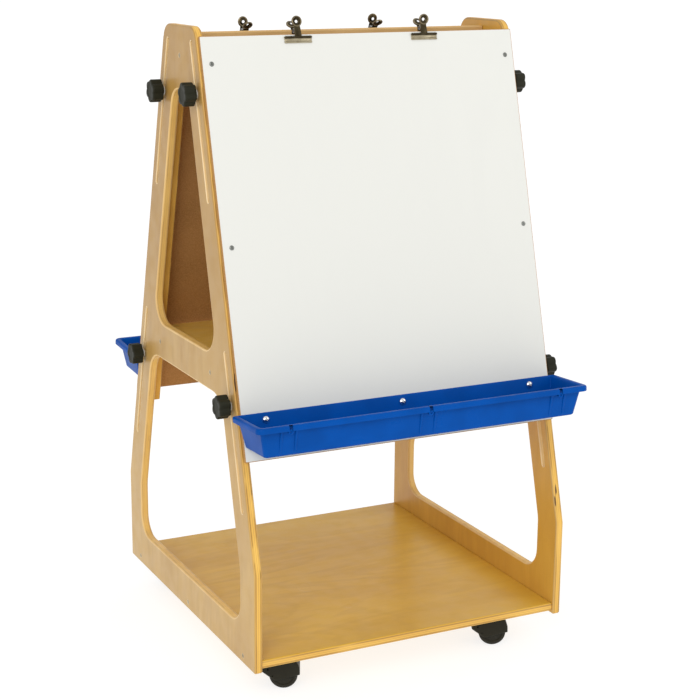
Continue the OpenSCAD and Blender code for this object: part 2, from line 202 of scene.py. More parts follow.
def plate(build, outline, holes, depth, matrix, mats=(0, 0, 0), steps=8, bevel_steps=4):
    """A flat board with rounded edges and holes; depth runs along local Z from 0. The outline is
    (points, radii, edge round) and a hole the same with its material. mats are those of the face at 0,
    the face at depth and the outer edges."""
    verts, normals, faces, mat = [], [], [], []
    low, high = [], []
    for k, (points, radii, round_r, edge_mat) in enumerate([(*outline, mats[2])] + list(holes)):
        hole = k > 0
        layers = []
        for j in range(bevel_steps + 1):
            phi = math.pi / 2 * j / bevel_steps
            layers.append((round_r * (1 - math.sin(phi)), round_r * (1 - math.cos(phi)), phi, -1))
        layers += [(inset, depth - z, phi, 1) for inset, z, phi, _ in reversed(layers)]
        starts = []
        for inset, z, phi, up in layers:
            starts.append(len(verts))
            ring = rounded(points, radii, -inset if hole else inset, steps)
            for p, n in ring:
                n = -n if hole else n
                verts.append((p.x, p.y, z))
                normals.append(Vector((n.x * math.sin(phi), n.y * math.sin(phi), up * math.cos(phi))))
        count = len(ring)
        for a, b in zip(starts, starts[1:]):
            quads = ring_faces(a, b, count)
            faces += [q[::-1] for q in quads] if hole else quads
            mat += [edge_mat] * len(quads)
        low.append(range(starts[0], starts[0] + count))
        high.append(range(starts[-1], starts[-1] + count))
    for rings, up, m in ((low, -1, mats[0]), (high, 1, mats[1])):
        flat = [i for r in rings for i in r]
        for t in tessellate_polygon([[Vector(verts[i]) for i in r] for r in rings]):
            a, b, c = (Vector(verts[flat[i]]) for i in t)
            area = (b - a).cross(c - a).z
            if abs(area) > 1e-9:
                ids = [flat[i] for i in t]
                faces.append(ids if area * up > 0 else ids[::-1])
                mat.append(m)
    return build.add(verts, faces, matrix, normals, mat)


def lathe(build, profile, matrix, steps=32, mat=0, closed=False, shape=None):
    """Turns (radius, z) points round local Z. Open profiles are capped; shape(angle, radius) may change a
    radius."""
    verts, faces = [], []
    for r, z in profile:
        for i in range(steps):
            t = 2 * math.pi * i / steps
            q = shape(t, r) if shape else r
            verts.append((q * math.cos(t), q * math.sin(t), z))
    last = len(profile) - 1
    for j in range(len(profile) if closed else last):
        faces += ring_faces(j * steps, (j + 1) % len(profile) * steps, steps)
    if not closed:
        faces += [tuple(range(steps))[::-1], tuple(range(last * steps, last * steps + steps))]
    return build.add(verts, faces, matrix, mat=mat)


def loft(build, rings, matrix, mat=0):
    """Joins equal rings of 3-D points and caps the ends."""
    n = len(rings[0])
    verts = [p for ring in rings for p in ring]
    faces = []
    for j in range(len(rings) - 1):
        faces += ring_faces(j * n, (j + 1) * n, n)
    last = (len(rings) - 1) * n
    faces += [tuple(range(n))[::-1], tuple(range(last, last + n))]
    return build.add(verts, faces, matrix, mat=mat)


def stamp(build, shape, matrix):
    """Adds a finished shape once more, placed by matrix."""
    return build.add(shape.verts, shape.faces, matrix)


def shape_object(name, build):
    """A temporary object of what a build has collected."""
    mesh = bpy.data.meshes.new("shape")
    mesh.from_pydata(build.verts, [], build.faces)
    mesh.polygons.foreach_set("material_index", build.mats)
    obj = bpy.data.objects.new(name, mesh)
    bpy.context.scene.collection.objects.link(obj)
    return obj


def cut(base, others):
    """What is left of base when the other builds are taken away, one after another."""
    obj = shape_object("base", base)
    tools = [shape_object("tool", other) for other in others]
    for tool in tools:
        modifier = obj.modifiers.new("cut", "BOOLEAN")
        modifier.operation, modifier.solver, modifier.object = "DIFFERENCE", "EXACT", tool
    bpy.context.view_layer.update()
    done = bpy.data.meshes.new_from_object(obj.evaluated_get(bpy.context.evaluated_depsgraph_get()))
    for o in [obj] + tools:
        bpy.data.objects.remove(o)
    result = Build()
    result.verts = [v.co.copy() for v in done.vertices]
    result.normals = [None] * len(result.verts)
    result.faces = [list(p.vertices) for p in done.polygons]
    result.mats = [p.material_index for p in done.polygons]
    bpy.data.meshes.remove(done)
    return result


def soften(obj):
    """Shades large flat faces as flat where they run into curved ones."""
    weighted = obj.modifiers.new("normals", "WEIGHTED_NORMAL")
    weighted.weight, weighted.keep_sharp = 80, True


# ---- Materials ----


class Graph:
    """Short names for building a node material. Each method adds a node and returns its output."""

    def __init__(self, name):
        self.material = bpy.data.materials.new(name)
        self.material.use_nodes = True
        self.tree = self.material.node_tree
        self.tree.nodes.clear()
        self.place = self.node("ShaderNodeTexCoord").outputs["Object"]

    def node(self, kind, inputs=None, **settings):
        n = self.tree.nodes.new(kind)
        for key, value in settings.items():
            setattr(n, key, value)
        for key, value in (inputs or {}).items():
            self.put(n.inputs[key], value)
        return n

    def put(self, socket, value):
        if isinstance(value, bpy.types.NodeSocket):
            self.tree.links.new(value, socket)
        elif socket.type == "RGBA":
            socket.default_value = (*value, 1.0) if len(value) == 3 else value
        else:
            socket.default_value = value

    def math(self, operation, a, b=0.0):
        n = self.node("ShaderNodeMath", operation=operation)
        for socket, value in zip(n.inputs, (a, b)):
            self.put(socket, value)
        return n.outputs[0]

    def mix(self, fac, a, b, blend="MIX"):
        n = self.node("ShaderNodeMix", data_type="RGBA", blend_type=blend)
        for index, value in ((0, fac), (6, a), (7, b)):
            self.put(n.inputs[index], value)
        return n.outputs[2]

    def stretch(self, x, y, z):
        n = self.node("ShaderNodeVectorMath", operation="MULTIPLY")
        self.put(n.inputs[0], self.place)
        n.inputs[1].default_value = (x, y, z)
        return n.outputs[0]

    def noise(self, vector, scale, detail=3.0, roughness=0.5, distortion=0.0):
        n = self.node("ShaderNodeTexNoise", {"Vector": vector, "Scale": scale, "Detail": detail,
                                             "Roughness": roughness, "Distortion": distortion})
        return n.outputs[0]

    def span(self, value, low, high, to_low=0.0, to_high=1.0):
        n = self.node("ShaderNodeMapRange", interpolation_type="SMOOTHSTEP")
        for index, v in enumerate((value, low, high, to_low, to_high)):
            self.put(n.inputs[index], v)
        return n.outputs[0]

    def xyz(self):
        n = self.node("ShaderNodeSeparateXYZ")
        self.put(n.inputs[0], self.place)
        return n.outputs

    def finish(self, colour, roughness, height, depth, metallic=0.0, coat=0.0, specular=0.5, coat_rough=0.1,
               glow=0.0):
        """Ends the material; height and depth, in metres, give its relief."""
        bump = self.node("ShaderNodeBump", {"Height": height, "Distance": depth, "Strength": 1.0})
        shader = self.node("ShaderNodeBsdfPrincipled", {
            "Base Color": colour, "Roughness": roughness, "Metallic": metallic,
            "Specular IOR Level": specular, "Coat Weight": coat, "Coat Roughness": coat_rough,
            "Emission Color": (1.0, 1.0, 1.0), "Emission Strength": glow, "Normal": bump.outputs[0]})
        out = self.node("ShaderNodeOutputMaterial")
        self.tree.links.new(shader.outputs[0], out.inputs[0])
        return self.material


def plywood(name, across, low, depth, grain, plies=5, tone=(1.0, 1.0, 1.0), pale=0.0, upper=None):
    """Lacquered birch plywood. across is the axis through the layers, low its lower face and depth its
    thickness, both in metres, and grain the axis that the veneer's grain runs along. pale paints light on
    the edges: it draws them towards the veneer's colour and tone and hides their gaps. upper is the tone
    that the veneer drifts to with height, a painted shade that darkens it towards the top."""
    g = Graph(name)
    through = g.xyz()[across]
    level = g.math("DIVIDE", g.math("SUBTRACT", through, low), depth)
    raw = g.math("MULTIPLY", level, float(plies))
    wobble = g.noise(g.place, 14.0, 2.0)
    layer = g.math("ADD", raw, g.math("MULTIPLY", g.math("SUBTRACT", wobble, 0.5), 0.22))

    # Face veneer: soft swirls, fine pores and slow changes of tone
    scale = [11.0, 11.0, 11.0]
    scale[grain] = 2.6
    fine = [330.0, 330.0, 330.0]
    fine[grain] = 12.0
    figure = g.noise(g.stretch(*scale), 1.0, 5.0, 0.58, 1.1)
    rings = g.math("SINE", g.math("MULTIPLY", g.noise(g.stretch(*scale), 0.6, 3.0, 0.5, 1.4), 38.0))
    pores = g.noise(g.stretch(*fine), 1.0, 2.0)
    cloud = g.noise(g.place, 4.5, 2.0)
    flecks = g.noise(g.stretch(*(v * 6.0 for v in scale)), 1.0, 2.0, 0.6, 0.5)
    face = g.mix(g.span(figure, 0.28, 0.74), (0.71, 0.480, 0.230), (0.61, 0.385, 0.165))
    face = g.mix(g.span(rings, -0.2, 1.0, 0.0, 0.22), face, (0.50, 0.295, 0.105))
    face = g.mix(g.span(pores, 0.50, 0.80, 0.0, 0.20), face, (0.43, 0.260, 0.105))
    face = g.mix(g.span(flecks, 0.60, 0.78, 0.0, 0.20), face, (0.78, 0.560, 0.290))
    face = g.mix(g.span(cloud, 0.25, 0.75, 0.0, 0.35), face, (0.69, 0.455, 0.205))

    # Edge: light and dark plies that run into each other, thin glue lines, a few gaps
    wave = g.math("COSINE", g.math("MULTIPLY", layer, math.pi))
    bands = g.span(g.math("MULTIPLY", wave, wave), 0.15, 0.95)
    long_fibre = g.noise(g.stretch(*[60.0 if a != grain else 6.0 for a in range(3)]), 1.0, 3.0)
    light = g.mix(g.span(long_fibre, 0.3, 0.7), (0.87, 0.540, 0.105), (0.77, 0.455, 0.078))
    dark = g.mix(g.span(long_fibre, 0.35, 0.65), (0.74, 0.420, 0.086), (0.63, 0.335, 0.062))
    edge = g.mix(bands, dark, light)
    from_middle = g.math("ABSOLUTE", g.math("SUBTRACT", layer, plies / 2))
    from_glue = g.math("ABSOLUTE", g.math("SUBTRACT", from_middle, plies / 2 - 1))
    line = g.math("MULTIPLY", g.span(from_glue, 0.08, 0.34, 0.80, 0.0),
                  g.span(long_fibre, 0.36, 0.56, 0.30, 1.0))
    edge = g.mix(line, edge, (0.20, 0.085, 0.018))
    gap_noise = g.noise(g.stretch(*[16.0 if a != across else 150.0 for a in range(3)]), 1.0, 1.0)
    # With pale, the edges are painted light: their gaps fade, and below they are drawn towards the veneer's
    # colour and multiplied by tone.
    gap = g.span(gap_noise, 0.735, 0.765, 0.0, 1.0 - pale)
    edge = g.mix(gap, edge, (0.10, 0.045, 0.015))
    edge = g.mix(pale, edge, g.mix(0.25, face, edge))

    inner = g.math("MULTIPLY", g.span(raw, 0.25, 0.7), g.span(raw, plies - 0.25, plies - 0.7))
    # Painted shade: where upper is given, the veneer's tone darkens with height from tone to upper.
    tone_and_painted_height_shade = g.mix(g.span(g.xyz()[2], 0.20, 0.85), tone, upper or tone)
    if pale:
        edge = g.mix(1.0, edge, tone, "MULTIPLY")
    colour = g.mix(inner, g.mix(1.0, face, tone_and_painted_height_shade, "MULTIPLY"), edge)
    rough = g.span(g.noise(g.place, 35.0, 3.0), 0.3, 0.7, 0.30, 0.42)
    rough = g.math("ADD", rough, g.math("MULTIPLY", inner, 0.08))
    height = g.math("ADD", g.math("MULTIPLY", pores, 0.5), g.math("MULTIPLY", figure, 0.6))
    height = g.math("SUBTRACT", height, g.math("MULTIPLY", gap, 3.0))
    return g.finish(colour, rough, height, 0.00008, coat=0.08, coat_rough=0.20, specular=0.4)


def laminate():
    """White dry-erase laminate with faint ghost marks and orange peel."""
    g = Graph("laminate")
    ghost = g.noise(g.stretch(9.0, 2.0, 3.0), 1.0, 4.0, 0.6, 1.2)
    specks = g.noise(g.place, 260.0, 2.0)
    colour = g.mix(g.span(ghost, 0.35, 0.8, 0.0, 0.25), (0.718, 0.718, 0.672), (0.690, 0.690, 0.648))
    colour = g.mix(g.span(specks, 0.74, 0.80, 0.0, 0.25), colour, (0.62, 0.62, 0.59))
    rough = g.span(ghost, 0.3, 0.7, 0.30, 0.40)
    peel = g.noise(g.place, 130.0, 2.0)
    return g.finish(colour, rough, peel, 0.00002, coat=0.1, coat_rough=0.15)


def hardboard():
    """Brown pressed fibre, screen-marked on the back."""
    g = Graph("hardboard")
    fibre = g.noise(g.place, 420.0, 4.0, 0.65)
    cloud = g.noise(g.place, 14.0, 3.0)
    colour = g.mix(g.span(fibre, 0.3, 0.7), (0.460, 0.238, 0.070), (0.315, 0.153, 0.043))
    colour = g.mix(g.span(cloud, 0.3, 0.7, 0.0, 0.4), colour, (0.50, 0.255, 0.080))
    x, _, z = g.xyz()
    across, upwards = (g.math("SINE", g.math("MULTIPLY", v, 2600.0)) for v in (x, z))
    screen = g.math("ADD", across, upwards)
    height = g.math("ADD", g.math("MULTIPLY", screen, 0.2), fibre)
    return g.finish(colour, g.span(fibre, 0.3, 0.7, 0.62, 0.82), height, 0.00025)


def plastic(name, colour, worn, rough, texture=650.0, depth=0.00004, scuff=0.12, specular=0.3):
    """Moulded plastic with fine spark texture, slow sink marks, scuffs and dust in the tone."""
    g = Graph(name)
    grain = g.noise(g.place, texture, 2.0)
    sink = g.noise(g.place, 18.0, 2.0)
    drawn = g.noise(g.stretch(24.0, 180.0, 130.0), 1.0, 3.0, 0.6, 0.4)
    shade = tuple(c * 0.84 for c in colour)
    tone = g.mix(g.span(sink, 0.3, 0.7), colour, shade)
    tone = g.mix(g.span(grain, 0.45, 0.75, 0.0, 0.35), tone, tuple(c * 1.15 for c in colour))
    tone = g.mix(g.span(drawn, 0.62, 0.74, 0.0, scuff), tone, worn)
    roughness = g.math("ADD", g.span(sink, 0.3, 0.7, rough - 0.03, rough + 0.04),
                       g.span(drawn, 0.6, 0.75, 0.0, 0.12))
    height = g.math("ADD", grain, g.math("MULTIPLY", sink, 1.2))
    return g.finish(tone, roughness, height, depth, specular=specular)


def metal(name, colour, tarnish, rough, along=(1.0, 1.0, 1.0), amount=0.5, depth=0.00002, metallic=1.0):
    """Bare or plated metal with drawn marks, small pits and tarnish."""
    g = Graph(name)
    marks = g.noise(g.stretch(*(v * 420.0 for v in along)), 1.0, 3.0, 0.6)
    cloud = g.noise(g.place, 70.0, 4.0, 0.6)
    pits = g.noise(g.place, 1100.0, 2.0)
    tone = g.mix(g.span(cloud, 0.35, 0.70, 0.0, amount), colour, tarnish)
    tone = g.mix(g.span(marks, 0.55, 0.80, 0.0, 0.30), tone, tuple(c * 0.72 for c in colour))
    roughness = g.math("ADD", g.span(cloud, 0.3, 0.7, rough, rough + 0.12),
                       g.span(marks, 0.4, 0.8, 0.0, 0.08))
    height = g.math("SUBTRACT", marks, g.span(pits, 0.70, 0.78))
    return g.finish(tone, roughness, height, depth, metallic=metallic)


white = laminate()
brown = hardboard()
blue = plastic("tray_blue", (0.0, 0.073, 0.365), (0.0, 0.10, 0.42), 0.30, texture=900.0, depth=0.00002,
               scuff=0.08, specular=0.06)
black = plastic("knob_black", (0.021, 0.021, 0.012), (0.060, 0.060, 0.042), 0.46, specular=0.12)
hood_black = plastic("caster_black", (0.020, 0.018, 0.010), (0.06, 0.055, 0.038), 0.42, specular=0.16)
tread = plastic("tread_black", (0.020, 0.018, 0.011), (0.07, 0.065, 0.048), 0.50, scuff=0.3,
                specular=0.2)
nickel = metal("nickel", (0.46, 0.40, 0.27), (0.25, 0.20, 0.12), 0.26, (0.3, 1.0, 1.0), 0.7)
# Painted light: two darker copies of the nickel. One is for the loops' rims, and a near-black one is for the
# beads, necks, arms and the loops' hollows; they paint in dark reflections and shade.
nickel_painted_mid = metal("nickel_painted_mid", (0.27, 0.22, 0.135), (0.12, 0.09, 0.048), 0.28, (1.0, 1.0, 0.3), 0.8)
nickel_painted_dark = metal("nickel_painted_dark", (0.070, 0.056, 0.030), (0.030, 0.022, 0.011), 0.30, (1.0, 1.0, 0.3), 0.7)
CLIP_METALS = [nickel, nickel_painted_mid, nickel_painted_dark]
LIP, LOOP, DARK = range(3)
chrome = metal("chrome", (0.80, 0.80, 0.81), (0.30, 0.29, 0.28), 0.10, (1.0, 1.0, 1.0), 0.25, 0.000008)
zinc = metal("zinc", (0.60, 0.60, 0.59), (0.42, 0.41, 0.38), 0.30, (1.0, 1.0, 0.2), 0.5)
yellow_zinc = metal("yellow_zinc", (0.46, 0.39, 0.26), (0.26, 0.20, 0.12), 0.32)
brass = metal("brass", (0.72, 0.53, 0.24), (0.42, 0.28, 0.12), 0.28)
# Painted highlight: near-white, half-metal zinc that keeps the washers bright in the shade beside the knobs.
painted_highlight_zinc = metal("painted_highlight_zinc", (0.93, 0.91, 0.84), (0.80, 0.77, 0.70), 0.40, amount=0.3,
                    metallic=0.35)
dull_zinc = metal("dull_zinc", (0.27, 0.28, 0.26), (0.15, 0.15, 0.13), 0.34, amount=0.6)
BY_SLOT = {"board": white, "tray": blue, "knob": black, "caster": hood_black, "wheel": tread,
           "clip": nickel, "chrome": chrome, "steel": zinc, "screw": yellow_zinc, "brass": brass}

# ---- Frame ----

WARM = (1.03, 0.93, 0.22)
PLY_M = PLY / 1000
OUTSIDE, INSIDE, WINDOWS, SLOTS = range(4)


def panel_plies(hand):
    """Outer face and outline, inner face, the edges of the windows and those of the slots. These are lit and
    shaded copies of one plywood: the outer face darkens with height as painted shade, the inner faces are
    warmer and brighter to lift the shade inside the frame, and the edges of the windows, slots and screw
    holes are paled and brightened as painted light on their walls.
    """
    low = -FRAME_W / 2000 if hand == "left" else FRAME_W / 2000 - PLY_M
    # Painted light and shade in these tones: upper darkens the outer face towards the top, inner lifts the
    # shade inside the frame, and windows and slots paint light on the holes' walls.
    looks = {"outer": {"tone": (0.82, 0.77, 0.51), "upper": (0.645, 0.56, 0.30)},
             "inner": {"tone": (0.93, 0.77, 0.25)},
             "windows": {"tone": (1.10, 1.12, 0.97), "pale": 0.75},
             "slots": {"tone": (1.22, 1.42, 1.75), "pale": 1.0}}
    return [plywood(f"ply_{hand}_{part}", 0, low, PLY_M, 2, **look) for part, look in looks.items()]


ply_base = plywood("ply_base", 2, (FOOT_Z + BASE_Z) / 1000, PLY_M, 0, tone=WARM)
ply_mid = plywood("ply_mid", 2, (FOOT_Z + MIDDLE_Z) / 1000, PLY_M, 0, tone=(1.10, 1.06, 0.46))
ply_rail = plywood("ply_rail", 1, -PLY_M / 2, PLY_M, 0, tone=(0.98, 0.96, 0.85))
BY_SLOT["ply"] = ply_base

# Frame screws as (y, height over the foot), into the base shelf, the middle shelf and the top rail
FRAME_SCREWS = [(-259, BASE_Z + PLY / 2), (0, BASE_Z + PLY / 2), (259, BASE_Z + PLY / 2),
                (-123, MIDDLE_Z + PLY / 2), (123, MIDDLE_Z + PLY / 2), (0, RAIL_Z + RAIL_H / 2)]


def window_upper():
    """Trapezium between the middle shelf and the top rail."""
    bottom, top = 522, 961
    low, high = edge_half(bottom, LEG_W), edge_half(top, LEG_W)
    return [(-low, bottom), (low, bottom), (high, top), (-high, top)], [43, 43, 35, 35], PANEL_ROUND, WINDOWS


def window_lower():
    """Hexagon between the foot and the middle shelf, whose legs bend with the panel's knee."""
    bottom, top = 67.5, 454.5
    low, high = HALF - LEG_W, edge_half(top, LEG_W)
    bend = KNEE - (LEG_W / math.cos(SLANT) - LEG_W) / math.tan(SLANT)
    points = [(-low, bottom), (low, bottom), (low, bend), (high, top), (-high, top), (-low, bend)]
    return points, [40, 40, 60, 50, 50, 60], PANEL_ROUND, WINDOWS


def slot(u, flip):
    """A slot that starts at u along the front edge, or along the rear edge if flipped."""
    along = Vector((math.sin(SLANT), math.cos(SLANT)))
    across = Vector((math.cos(SLANT), -math.sin(SLANT)))
    start = Vector((-HALF, KNEE)) + across * SLOT_IN + along * u
    half = SLOT_W / 2
    points = [start - across * half, start + across * half, start + across * half + along * SLOT_L,
              start - across * half + along * SLOT_L]
    if flip:
        points = [Vector((-p.x, p.y)) for p in reversed(points)]
    return points, [half - 0.02] * 4, 1.5, SLOTS


def round_hole(y, z, r, mat=0):
    """A bored hole, as a square whose corners are rounded into a circle."""
    return rect(2 * r, 2 * r, y, z), [r - 0.02] * 4, 0.3, mat


def panel(hand):
    """A side panel, drawn as (y, height over the foot)."""
    top_half = edge_half(TOP)
    points = [(-HALF, 0), (HALF, 0), (HALF, KNEE), (top_half, TOP), (-top_half, TOP), (-HALF, KNEE)]
    holes = [window_upper(), window_lower()]
    holes += [slot(u, flip) for flip in (False, True) for u in SLOT_U]
    holes += [round_hole(y, z, 4.45, SLOTS) for y, z in FRAME_SCREWS]
    x0 = -FRAME_W / 2 if hand == "left" else INNER_X
    place = MM @ at(x0, 0, FOOT_Z) @ axes((0, 1, 0), (0, 0, 1), (1, 0, 0))
    mats = (OUTSIDE, INSIDE, OUTSIDE) if hand == "left" else (INSIDE, OUTSIDE, OUTSIDE)
    b = Build()
    plate(b, (points, [4, 4, 20, 28, 28, 20], PANEL_ROUND), holes, PLY, place, mats, bevel_steps=5)
    b.make(f"panel_{hand}", panel_plies(hand), "root", [f"side_panel_{hand}"], "ply")


def base_shelf():
    """The low shelf between the panels' feet."""
    b = Build()
    plate(b, (rect(SHELF_W, 613.4), [1.5] * 4, 2.4), [], PLY, MM @ at(0, 0, FOOT_Z + BASE_Z))
    b.make("base_board", [ply_base], "root", ["base_shelf"], "ply")


def middle_shelf():
    """A shelf whose corners are cut away to let the cleats pass."""
    x, cut_x = SHELF_W / 2, INNER_X - 22
    y, cut_y = 215, edge_half(MIDDLE_Z, 45) - 6
    half = [(-cut_x, -y), (cut_x, -y), (cut_x, -cut_y), (x, -cut_y), (x, cut_y), (cut_x, cut_y)]
    outline = half + [(-px, -py) for px, py in half], [2, 2, 3, 1, 1, 3] * 2, 2.0
    b = Build()
    plate(b, outline, [], PLY, MM @ at(0, 0, FOOT_Z + MIDDLE_Z))
    b.make("middle_board", [ply_mid], "root", ["middle_shelf"], "ply")


def top_rail():
    """The upright board between the panels' tops."""
    outline = rect(SHELF_W, RAIL_H, 0, FOOT_Z + RAIL_Z + RAIL_H / 2), [1.2] * 4, 3.0
    b = Build()
    plate(b, outline, [], PLY, MM @ at(0, PLY / 2, 0) @ axes((1, 0, 0), (0, 0, 1), (0, -1, 0)))
    b.make("rail_board", [ply_rail], "root", ["top_rail"], "ply")


for hand in HANDS:
    panel(hand)
base_shelf()
middle_shelf()
top_rail()


# ---- Screws ----


def cross_recess(r, depth, top):
    """Two crossed tapering blades that cut a recess downwards from z = top."""
    half_w, half_t = r * 0.62, r * 0.17

    def ring(scale, z):
        return [(x * scale, y * scale, z) for x, y in
                ((-half_w, -half_t), (half_w, -half_t), (half_w, half_t), (-half_w, half_t))]

    rings = [ring(0.35, top - depth), ring(1.0, top + 0.3)]
    return [loft(Build(), rings, turn(angle, "Z")) for angle in (0, 90)]


def threaded(r, z0, z1, pitch):
    """Profile of a plain-ended screw thread drawn as close rings."""
    points, z = [(r - 0.5, z0)], z0 + 0.6
    while z < z1 - 1:
        points += [(r, z), (r - 0.35, z + pitch / 2)]
        z += pitch
    return points + [(r - 0.4, z1)]


def screw_shape(profile, recess_r, depth, top):
    """A turned screw or bolt, head upwards, with a crossed recess."""
    return cut(lathe(Build(), profile, Matrix.Identity(4), 28), cross_recess(recess_r, depth, top))


def panel_screws():
    """The frame screws, each turned a little further than the last."""
    b = Build()
    for hand in HANDS:
        s = -1 if hand == "left" else 1
        for k, (y, z) in enumerate(FRAME_SCREWS):
            place = MM @ at(s * FRAME_W / 2, y, FOOT_Z + z) @ axes((0, s, 0), (0, 0, 1), (s, 0, 0))
            stamp(b, flush_screw, place @ turn(23 * k, "Z"))
    b.make("panel_screws", [yellow_zinc], "root", ["frame_screws"], "screw")


flush_head = [(2.1, -2.6), (4.2, -0.7), (4.35, -0.45), (4.2, -0.3), (2.0, -0.25)]
flush_screw = screw_shape(threaded(2.05, -47, -2.6, 2.2)[:-1] + flush_head, 3.4, 1.5, -0.25)
panel_screws()

pan_head = [(1.8, 0), (4.2, 0.02), (4.25, 0.35), (3.7, 0.95), (2.4, 1.3), (1.0, 1.38)]
pan_screw = screw_shape(threaded(1.85, -25.6, 0.2, 1.8)[:-1] + pan_head, 3.4, 1.0, 1.38)

DOME_R, DOME_Z, DOME_H = 6.25, 3.3, 3.7
dome_head = [(2.9, -9.5), (3.0, -9.0), (3.0, 2.6), (5.9, 2.62), (6.2, 2.9), (DOME_R, DOME_Z)]
dome_head += [(DOME_R * math.cos(t), DOME_Z + DOME_H * math.sin(t)) for t in
              (0.2, 0.4, 0.62, 0.84, 1.06, 1.28, 1.46)]
dome_bolt = screw_shape(dome_head, 4.6, 2.2, DOME_Z + DOME_H)

# ---- Knobs ----

KNOB_LOBES, KNOB_R, KNOB_VALLEY_R, KNOB_DISH_R = 6, 20.5, 16.9, 13


def lobed(t, r):
    """Radius of the knob at angle t, where r is the radius over its lobes; the dish in its face is round."""
    if r <= KNOB_DISH_R:
        return r
    lobe = ((1 + math.cos(KNOB_LOBES * t)) / 2) ** 0.62
    return r * (KNOB_VALLEY_R + (KNOB_R - KNOB_VALLEY_R) * lobe) / KNOB_R


def at_stud(side, level, hand):
    """Frame on a panel's outer face round a stud, Z outwards."""
    s = -1 if hand == "left" else 1
    return on_board(side) @ at(s * FRAME_W / 2, STUD_Y, STUD_U[level]) @ axes((0, s, 0), (0, 0, 1), (s, 0, 0))


def knob(side, level, hand):
    """A star knob on its threaded stud: grip, collar and stud."""
    angle = {"upper": 31, "lower": 18}[level] + (4 if hand == "right" else 0)
    place = at_stud(side, level, hand) @ turn(angle, "Z")
    b = Build()
    grip = [(9.0, 6.0), (19.0, 6.05), (20.0, 6.4), (20.45, 7.2), (KNOB_R, 8.4), (KNOB_R, 23.6), (20.35, 24.7),
            (19.9, 25.5), (19.1, 26.0), (17.6, 26.15), (14.0, 26.15), (12.6, 26.0), (11.8, 25.7), (6.0, 25.6),
            (0.8, 25.6)]
    collar = [(6.0, 2.35), (7.4, 2.3), (7.7, 2.6), (7.7, 5.4), (8.6, 6.6), (9.8, 7.2), (6.0, 7.4)]
    lathe(b, grip, place, 96, shape=lobed)
    lathe(b, collar, place, 40)
    lathe(b, threaded(3.17, -38.0, 7.5, 1.27), place, 20, mat=1)
    name = f"{side}_knob_{level}_{hand}"
    b.make(f"knob_{side}_{level}_{hand}", [black, zinc], name, [name], "knob", 32)


# ---- Trays ----

TRAY_RIM = 8.0


def wall_in(z, extra=0.0):
    """How far inside the rim's outer edge the leaning wall stands at height z."""
    return TRAY_RIM + extra - z * math.tan(TRAY_DRAFT)


def tray_ring(inset, z, back, r_front):
    """Outline of the tray at height z; back is how far in front of the board's face it stops."""
    w = TRAY_W / 2 - inset
    front, rear = -TRAY_D + inset, z * math.tan(TRAY_BACK) - back
    corners = [(-w, front), (w, front), (w, rear), (-w, rear)]
    return [(p.x, p.y, z) for p, _ in rounded(corners, [r_front, r_front, 1.2, 1.2])]


def tray_shell():
    """Inner floor, inner walls, rolled rim, lip and outer walls, as rings from the inside out."""
    floor = -TRAY_H + TRAY_T
    inner_r, outer_r, outer_turn = 4.5, 4.0, 3.2
    quarter = [math.pi / 2 * k / 5 for k in range(1, 6)]
    rings = [tray_ring(wall_in(floor, TRAY_T) + 6.0, floor, 8.6, 4.0)]
    for t in quarter:
        z, turned = floor + inner_r * (1 - math.cos(t)), inner_r * (1 - math.sin(t))
        rings.append(tray_ring(wall_in(z, TRAY_T) + turned, z, 2.6 + turned, 6.0))
    for z in (-30.0, -15.0, -3.4):
        rings.append(tray_ring(wall_in(z, TRAY_T), z, 2.6, 6.0 + 0.05 * (z + 45)))
    # Rolled rim and the lip under it, as (height, distance from the outer edge, distance from the board)
    for z, over, back in ((-1.9, 10.1, 2.5), (-0.9, 9.5, 2.3), (-0.25, 8.7, 2.0), (0.0, 7.8, 1.7),
                          (-0.02, 6.6, 1.3), (0.0, 4.0, 1.0), (-0.25, 2.6, 0.7), (-0.9, 1.3, 0.4),
                          (-2.0, 0.45, 0.2), (-3.4, 0.1, 0.15), (-5.0, 0.0, 0.15), (-9.2, 0.0, 0.15),
                          (-9.8, 0.3, 0.2), (-10.0, 0.9, 0.3), (-9.8, 1.7, 0.5), (-9.2, 2.2, 0.6),
                          (-4.0, 2.4, 0.7), (-2.9, 3.2, 0.7), (-2.6, 5.0, 0.7), (-2.6, 7.6, 0.7),
                          (-3.4, 8.7, 0.7)):
        rings.append(tray_ring(over, z, back, max(12.0 - over, 6.0)))
    rings += [tray_ring(wall_in(z), z, 0.7, 7.0) for z in (-8.0, -20.0, -34.0, outer_r - TRAY_H)]
    for t in quarter:
        z, turned = outer_r - TRAY_H - outer_r * math.sin(t), outer_turn * (1 - math.cos(t))
        rings.append(tray_ring(wall_in(z) + turned, z, 0.7 + turned, 6.0))
    return rings


def tray_notch(x):
    """Cutter for a notch in the front rim."""
    outline = rect(6.4, 7.0, x, -TRAY_D + 0.3), [1.0] * 4, 0.2
    return plate(Build(), outline, [], 12.0, at(0, 0, -11.0), steps=3, bevel_steps=2)


def tray_rib(build, x, place):
    """A rib down the front wall, which fades out at the floor."""
    section = ((1.0, 0.0), (-1.0, 0.0), (-1.0, 0.75), (-0.85, 0.93), (-0.55, 1.0), (0.55, 1.0), (0.85, 0.93),
               (1.0, 0.75))
    rings = []
    for z, out, half in ((-2.9, 4.6, 2.2), (-9.0, 4.2, 2.2), (-46.0, 2.6, 2.1), (-51.0, 1.8, 1.9),
                         (-54.0, 0.2, 1.2)):
        y = -TRAY_D + wall_in(z) + 1.6
        rings.append([(x + half * a, y - out * c, z) for a, c in section][::-1])
    loft(build, rings[::-1], place)


